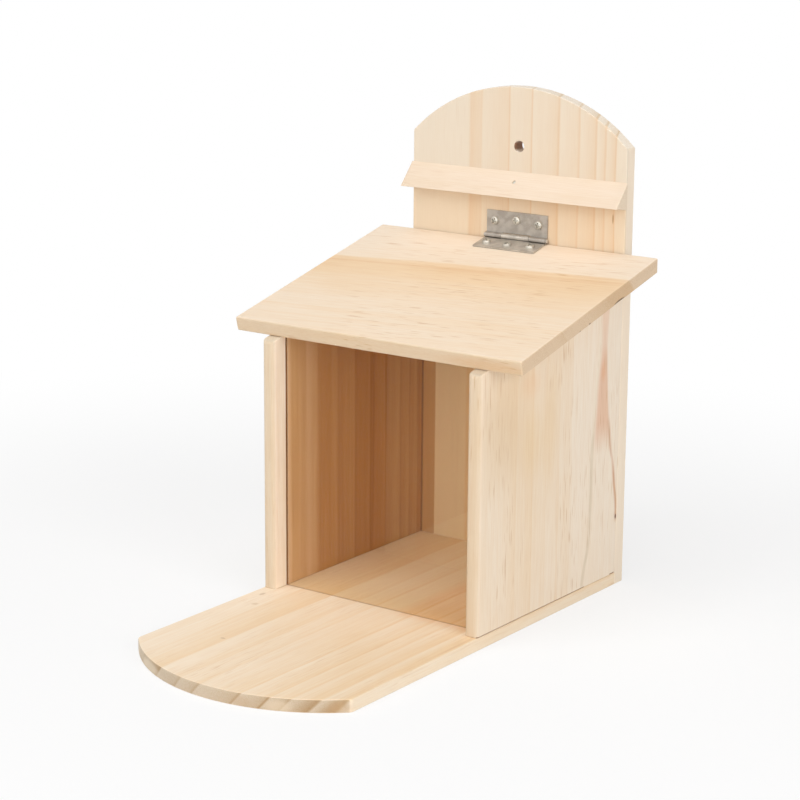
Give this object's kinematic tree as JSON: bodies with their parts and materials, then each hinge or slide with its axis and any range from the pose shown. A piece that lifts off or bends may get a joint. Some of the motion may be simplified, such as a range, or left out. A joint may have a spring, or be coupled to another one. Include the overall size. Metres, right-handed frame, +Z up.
{
  "type": "squirrel feeder box",
  "caption": "Softwood squirrel feeder box with arched back board, round-fronted floor, clear grooved front pane, rain strip and a sloping lid on a butt hinge.",
  "frame": {"origin": "under the middle of the feeder's length and width, on the surface that it stands on", "axes": "+Z up, -Y towards the round front of the floor, +Y towards the tree or fence, +X to the right seen from the front"},
  "size_m": [0.2284, 0.35, 0.341],
  "materials": {
    "softwood": "planed and sanded, unfinished",
    "lid_softwood": "planed and sanded, unfinished",
    "clear_acrylic": "clear, polished",
    "hinge_zinc": "zinc plated, dull",
    "screw_zinc": "zinc plated, bright"
  },
  "bodies": {
    "box": {"floor_board": "softwood", "left_wall": "softwood", "right_wall": "softwood", "back_board": "softwood", "rain_strip": "softwood", "rain_strip_brad": "screw_zinc", "hinge_upper_leaf": "hinge_zinc", "hinge_pin": "hinge_zinc", "hinge_upper_screw_1": "screw_zinc", "hinge_upper_screw_2": "screw_zinc", "hinge_upper_screw_3": "screw_zinc", "base_screw_left_front": "screw_zinc", "base_screw_left_rear": "screw_zinc", "base_screw_right_front": "screw_zinc", "base_screw_right_rear": "screw_zinc", "back_screw_left_lower": "screw_zinc", "back_screw_left_upper": "screw_zinc", "back_screw_left_floor": "screw_zinc", "back_screw_right_lower": "screw_zinc", "back_screw_right_upper": "screw_zinc", "back_screw_right_floor": "screw_zinc"},
    "lid": {"lid": "lid_softwood", "hinge_lid_leaf": "hinge_zinc", "hinge_lid_screw_1": "screw_zinc", "hinge_lid_screw_2": "screw_zinc", "hinge_lid_screw_3": "screw_zinc"},
    "pane": {"clear_front_pane": "clear_acrylic"}
  },
  "joints": [
    {"name": "lid_hinge", "type": "hinge", "parent": "box", "child": "lid", "pos_m": [0.0016, 0.16235, 0.23658], "axis": [-1, 0, 0], "range_deg": [0, 85]},
    {"name": "pane_lift", "type": "slide", "parent": "box", "child": "pane", "axis": [0, 0, 1], "range_m": [0, 0.003]}
  ]
}
